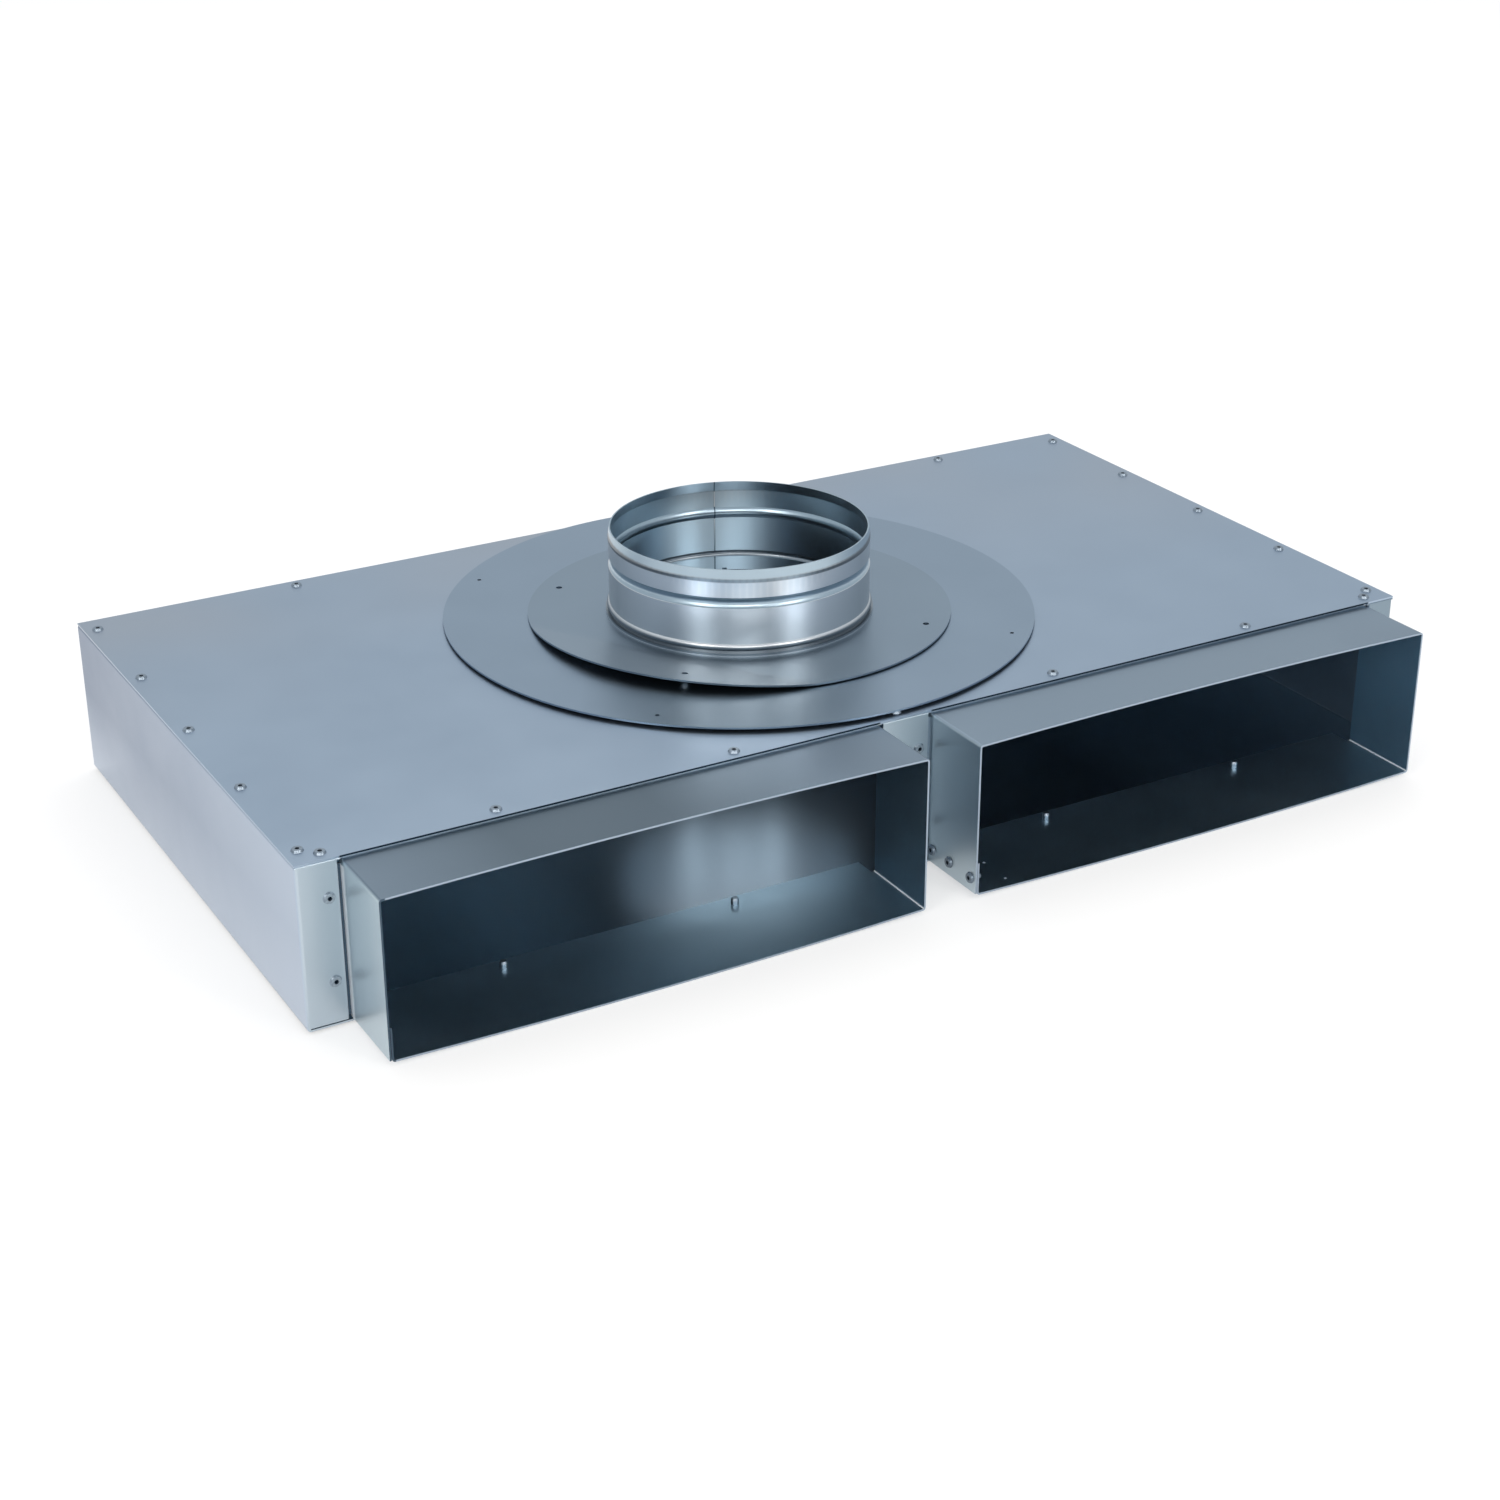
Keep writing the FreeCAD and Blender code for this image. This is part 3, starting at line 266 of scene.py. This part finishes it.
def sleeve_tint(tree, colour, rough, place, normal):
    """A sleeve's left side is greenish and, with painted light, brighter towards the floor, its top is
    cloudy and darker, its floor inside is lightened with painted light but the sheet under the top is
    darkened with painted shade, painted shade darkens the faces that look forward at the left outlet's left
    end, its cut edge among them, and the fold between a floor and its right wall shows a thin pale rough
    line of painted highlight."""
    where = split(tree, place)
    faces = split(tree, normal)
    to_left = facing(tree, faces["X"], -1)

    # The left outlet's top is darker a little left of its middle.
    zones = noise(tree, place, millimetres(170), 1.0)
    cloudy = blend(tree, clamped(tree, zones, 0.4, 0.6), linear("#8492A0"), linear("#94A3B1"))
    dark_zone = clamped(tree, apart(tree, where["X"], -0.20), 0.13, 0.04)
    cloudy = blend(tree, dark_zone, cloudy, linear("#6B7984"))
    high = clamped(tree, where["Z"], 0.080, 0.084)
    colour = blend(tree, product(tree, high, facing(tree, faces["Z"])), colour, cloudy)
    # Painted shade darkens the sheet's underside under the top.
    colour = blend(tree, product(tree, high, facing(tree, faces["Z"], -1)), colour, linear("#2F4654"))
    # Painted light makes the left side slightly brighter towards the floor.
    side = blend(tree, clamped(tree, where["Z"], 0.07, 0.0), linear("#BCCAD0"), linear("#BECBD2"))
    colour = blend(tree, to_left, colour, side)

    # Both right walls show their inside faces, which are lightened with painted light and bluer than the
    # outsides on the left.
    walls = [clamped(tree, apart(tree, where["X"], end), 0.004, 0.003)
             for end in (OUTLET_ENDS[1], OUTLET_ENDS[3])]
    inner = product(tree, number(tree, "MAXIMUM", *walls), to_left)
    colour = blend(tree, inner, colour, linear("#B6D8EE"))
    # Painted light lightens the floor inside.
    floor = product(tree, facing(tree, faces["Z"]), clamped(tree, where["Z"], *FLOOR_TOP))
    colour = blend(tree, floor, colour, linear(PAINTED_LIGHT_INSIDE))

    # Painted light brightens the narrow groove beside the left end strip.
    root = clamped(tree, where["Y"], -0.1775, -0.1750)
    below_lid = clamped(tree, where["Z"], 0.0868, 0.0860)
    left_end = clamped(tree, where["X"], -0.30, -0.31)
    painted_light_groove = product(tree, product(tree, root, below_lid), left_end)
    colour = blend(tree, painted_light_groove, colour, linear("#F2F5F7"))
    rough = level(tree, painted_light_groove, rough, 0.6)

    # Painted shade darkens the faces that look forward at the left outlet's left end.
    left_edge = clamped(tree, where["X"], OUTLET_ENDS[0] + 0.0034, OUTLET_ENDS[0] + 0.0030)
    painted_shade_edge = product(tree, facing(tree, faces["Y"], -1), left_edge)
    colour = blend(tree, painted_shade_edge, colour, linear("#4A5A68"))

    # The fold's inner side looks both left and up; a thin pale rough line of painted highlight runs along
    # it.
    leftward = product(tree, faces["X"], -1.0)
    both = clamped(tree, number(tree, "MINIMUM", leftward, faces["Z"]), 0.1, 0.4)
    painted_fold_line = product(tree, both, clamped(tree, where["Z"], 0.030, 0.026))
    return blend(tree, painted_fold_line, colour, linear("#FFFFFF")), level(tree, painted_fold_line, rough, 0.8)


def plate_painted_shade(tree, colour, rough, place, normal):
    """The round plates carry painted shade in front of the collar, in a band about as wide as it, a painted
    reflection of the studio there."""
    flat = from_collar(tree, place)
    ahead = clamped(tree, dot(tree, flat, COLLAR_FRONT), 0.045, 0.085)
    aside = number(tree, "ABSOLUTE", dot(tree, flat, COLLAR_SIDE))
    # A band of painted shade in front of the collar.
    painted_shade_band = product(tree, ahead, clamped(tree, aside, 0.085, 0.035))
    return blend(tree, product(tree, painted_shade_band, 0.9), colour, linear("#6E7D89")), rough


def rolled_zinc_tube(name):
    """Zinc-coated sheet rolled into a short tube: brighter than flat sheet, with grain round the tube
    that stretches each highlight into an upright streak."""
    material, tree = new_material(name)
    place = add_node(tree, "ShaderNodeTexCoord").outputs["Object"]
    where = split(tree, place)
    flat = from_collar(tree, place)
    clouds = noise(tree, place, millimetres(18), 4.0, 0.6)
    colour = blend(tree, clouds, linear("#C8CCCF"), linear("#D8DBDD"))
    # Painted light brightens the front, fully within about 40 degrees of its middle: the light of the
    # studio there.
    front = clamped(tree, dot(tree, flat, COLLAR_FRONT), 0.030, 0.058)
    colour = blend(tree, front, colour, linear("#F6F7F8"))
    # The lead-in at the top leans back towards the bright room, so painted shade makes it darker than the
    # rest.
    lead_in = clamped(tree, where["Z"], 0.1374, 0.1380)
    colour = blend(tree, lead_in, colour, linear("#808487"))
    # Painted shade darkens the bead near the foot.
    bead = clamped(tree, apart(tree, where["Z"], 0.0978), 0.0032, 0.0022)
    colour = blend(tree, bead, colour, linear("#8F979E"))
    # Inside, nearer to the axis than the middle of the sheet, the zinc is greener.
    radius = add_node(tree, "ShaderNodeVectorMath", {0: flat}, operation="LENGTH").outputs["Value"]
    inside = clamped(tree, radius, 0.0747, 0.0745)
    colour = blend(tree, inside, colour, linear("#B0C1CC"))
    # The lap's seam inside, just under 1 mm wide, is a darker upright line.
    turn = math.radians(COLLAR_SEAM)
    off_seam = number(tree, "ABSOLUTE", dot(tree, flat, (-math.sin(turn), math.cos(turn), 0.0)))
    same_side = clamped(tree, dot(tree, flat, (math.cos(turn), math.sin(turn), 0.0)), 0.0, 0.01)
    seam = product(tree, clamped(tree, off_seam, 0.0006, 0.0002), same_side)
    colour = blend(tree, product(tree, seam, inside), colour, linear("#566773"))
    # Upright flow lines about 2 mm wide and 60 mm long, left by the rolls.
    flow = noise(tree, stretched(tree, place, (2, 2, 60)), 1.0, 3.0)
    surface = metal(tree, colour, 0.28, bump(tree, flow, 0.12, 0.0003), 0.55)
    around = add_node(tree, "ShaderNodeTangent", direction_type="RADIAL", axis="Z")
    tree.links.new(around.outputs["Tangent"], surface.inputs["Tangent"])
    return material


def plated_rivet_steel(name, light, way=None, crown=0.0, seat=0.0):
    """Zinc-plated steel of a set blind rivet: a slightly greasy grey with small knocks. The hollow middle
    of a head that faces the given way is darkened with painted shade where it lies between the crown and
    the seat, both measured that way from the origin."""
    material, tree = new_material(name)
    texture = add_node(tree, "ShaderNodeTexCoord").outputs
    place = texture["Object"]
    # Knocks about 1.2 mm wide, which also dent the surface.
    knocks = noise(tree, place, millimetres(1.2), 2.0)
    colour = blend(tree, knocks, linear("#7C8894"), linear(light))
    if way:
        # Painted shade in the hollow middle of the head.
        depth = clamped(tree, dot(tree, place, way), crown, seat)
        flat_on = clamped(tree, dot(tree, texture["Normal"], way), 0.9, 0.98)
        colour = blend(tree, product(tree, depth, flat_on), colour, linear("#16202A"))
    metal(tree, colour, 0.36, bump(tree, knocks, 0.3, 0.0003))
    return material


def dress(names, material):
    """Gives every material slot of the named CAD nodes that material."""
    for name in names:
        for slot in nodes[name].material_slots:
            slot.material = material


dress(["lid"], zinc_coated_sheet("galvanised_lid", "#ACBBCB", "#A2B2C4", 0.36, 0, lid_tint))
dress(["tray", "front_rail"], zinc_coated_sheet(
    "galvanised_tray", "#B4BFCE", "#ABB8C8", 0.34, 0, tray_tint))
dress(["left_sleeve", "right_sleeve"], zinc_coated_sheet(
    "galvanised_sleeve", "#A3B1BF", "#9BAAB9", 0.32, 0, sleeve_tint))
dress(["big_plate"], zinc_coated_sheet(
    "galvanised_plate", "#9CACBC", "#93A4B5", 0.32, 90, plate_painted_shade))
dress(["small_plate"], zinc_coated_sheet(
    "galvanised_small_plate", "#94A4B2", "#8C9CAB", 0.34, 90, plate_painted_shade))
dress(["collar"], rolled_zinc_tube("rolled_collar_steel"))
# These rivets are one steel; their differing lightness is painted light and shade, darkest for the seam's
# rivets and lightest for the strips' rivets.
dress(["floor_rivets"], plated_rivet_steel("plated_rivet_steel", "#B4BEC8"))
dress(["right_seam_rivets"], plated_rivet_steel(
    "plated_rivet_steel_of_the_seam", "#6A757F", (-1.0, 0.0, 0.0), -0.0169, -0.0173))
dress(["lid_side_rivets", "lid_back_rivets", "lid_front_rivets", "lid_outlet_rivets"],
      plated_rivet_steel("plated_rivet_steel_of_the_lid", "#A8B3BE", (0.0, 0.0, 1.0), 0.0919, 0.0913))
dress(["side_strip_rivets", "middle_strip_rivets"],
      plated_rivet_steel("plated_rivet_steel_of_the_strips", "#C6CFD7", (0.0, -1.0, 0.0), 0.1733, 0.1728))


# Floor, light and camera

FLOOR_HALF_WIDTH = 12.0
FLOOR_GAP = 0.0002
# How much plain white the camera and the reflections see in the floor.
CAMERA_WHITE = 0.55
REFLECTED_WHITE = 0.35

# From the room in front of the object to the wall behind it, as a unit way in plan.
BACKWARDS = (0.5, 0.86, 0.0)

LAMP_COLOUR = (1.0, 0.965, 0.92)
LAMP_AIM = Vector((0.0, 0.0, 0.05))
# Name, azimuth and elevation in degrees, distance, width and height in metres, and power in watts.
LAMPS = (
    ("left_soft_box", 208, 28, 2.6, 0.5, 1.6, 14),
    ("right_soft_box", 288, 28, 2.6, 0.5, 1.6, 13),
    ("front_soft_box", 246, 24, 2.8, 1.4, 1.0, 13),
    ("top_soft_box", 60, 65, 3.0, 2.4, 2.4, 18))

CAMERA_PLACE = (-0.69732, -1.23666, 0.67119)
CAMERA_TURN = (64.7314, 0.148, -29.6626)
LENS_MM = 63.485
SENSOR_MM = 36.0


def white_floor():
    """A wide pale floor under the object. What the camera and the reflections see of it is partly plain
    white, and the rest is lit, so that the object's shadow stays."""
    half = FLOOR_HALF_WIDTH
    low = cad_box[0][2] - FLOOR_GAP
    mesh = bpy.data.meshes.new("floor")
    corners = [(-half, -half, low), (half, -half, low), (half, half, low), (-half, half, low)]
    mesh.from_pydata(corners, [], [(0, 1, 2, 3)])
    floor = bpy.data.objects.new("floor", mesh)
    bpy.context.scene.collection.objects.link(floor)
    material, tree = new_material("pale_floor")
    lit = add_node(tree, "ShaderNodeBsdfDiffuse", {"Color": linear("#F4F5F6")})
    plain = add_node(tree, "ShaderNodeEmission", {"Color": linear("#FFFFFF"), "Strength": 1.0})
    path = add_node(tree, "ShaderNodeLightPath").outputs
    share = number(tree, "ADD", product(tree, path["Is Camera Ray"], CAMERA_WHITE),
                   product(tree, path["Is Glossy Ray"], REFLECTED_WHITE))
    both = add_node(tree, "ShaderNodeMixShader", {
        "Fac": share, 1: lit.outputs["BSDF"], 2: plain.outputs["Emission"]})
    add_node(tree, "ShaderNodeOutputMaterial", {"Surface": both.outputs["Shader"]})
    mesh.materials.append(material)


def studio_world():
    """A plain studio: white to the camera and on the floor. The metal sees a pale wall behind the object,
    brightest low down, and a dimmer room in front of it."""
    world = bpy.data.worlds.new("studio")
    world.use_nodes = True
    tree = world.node_tree
    tree.nodes.clear()
    direction = add_node(tree, "ShaderNodeTexCoord").outputs["Generated"]
    behind = clamped(tree, dot(tree, direction, BACKWARDS), -0.5, 0.8)
    rise = clamped(tree, split(tree, direction)["Z"], 0.1, 0.9)
    wall = blend(tree, rise, linear("#D6DDE2"), linear("#BBC4CB"))
    room = blend(tree, behind, linear("#C0C8CF"), wall)
    lit = add_node(tree, "ShaderNodeBackground", {"Color": room, "Strength": 1.0})
    plain = add_node(tree, "ShaderNodeBackground", {"Color": linear("#FFFFFF"), "Strength": 1.0})
    path = add_node(tree, "ShaderNodeLightPath").outputs
    white = number(tree, "MAXIMUM", path["Is Camera Ray"], path["Is Diffuse Ray"])
    both = add_node(tree, "ShaderNodeMixShader", {
        "Fac": white, 1: lit.outputs["Background"], 2: plain.outputs["Background"]})
    add_node(tree, "ShaderNodeOutputWorld", {"Surface": both.outputs["Shader"]})
    bpy.context.scene.world = world


def soft_lamp(name, azimuth, elevation, distance, width, height, power):
    """A soft box that faces the middle of the object, from an azimuth (0 is +X, 90 is +Y) and elevation."""
    turn = math.radians(azimuth)
    lift = math.radians(elevation)
    way = Vector((math.cos(turn) * math.cos(lift), math.sin(turn) * math.cos(lift), math.sin(lift)))
    lamp = bpy.data.lights.new(name, "AREA")
    lamp.shape = "RECTANGLE"
    lamp.size = width
    lamp.size_y = height
    lamp.energy = power
    lamp.color = LAMP_COLOUR
    holder = bpy.data.objects.new(name, lamp)
    holder.location = way * distance + LAMP_AIM
    holder.rotation_euler = way.to_track_quat("Z", "Y").to_euler()
    bpy.context.scene.collection.objects.link(holder)


def photo_camera():
    """The camera worked out from the photograph: its place, its turn and its lens."""
    lens = bpy.data.cameras.new("photo_camera")
    lens.sensor_width = SENSOR_MM
    lens.lens = LENS_MM
    lens.clip_start = 0.01
    lens.clip_end = 60.0
    camera = bpy.data.objects.new("photo_camera", lens)
    camera.location = CAMERA_PLACE
    camera.rotation_euler = [math.radians(angle) for angle in CAMERA_TURN]
    bpy.context.scene.collection.objects.link(camera)
    bpy.context.scene.camera = camera


white_floor()
studio_world()
for lamp_numbers in LAMPS:
    soft_lamp(*lamp_numbers)
photo_camera()
bpy.context.scene.view_settings.view_transform = "Standard"
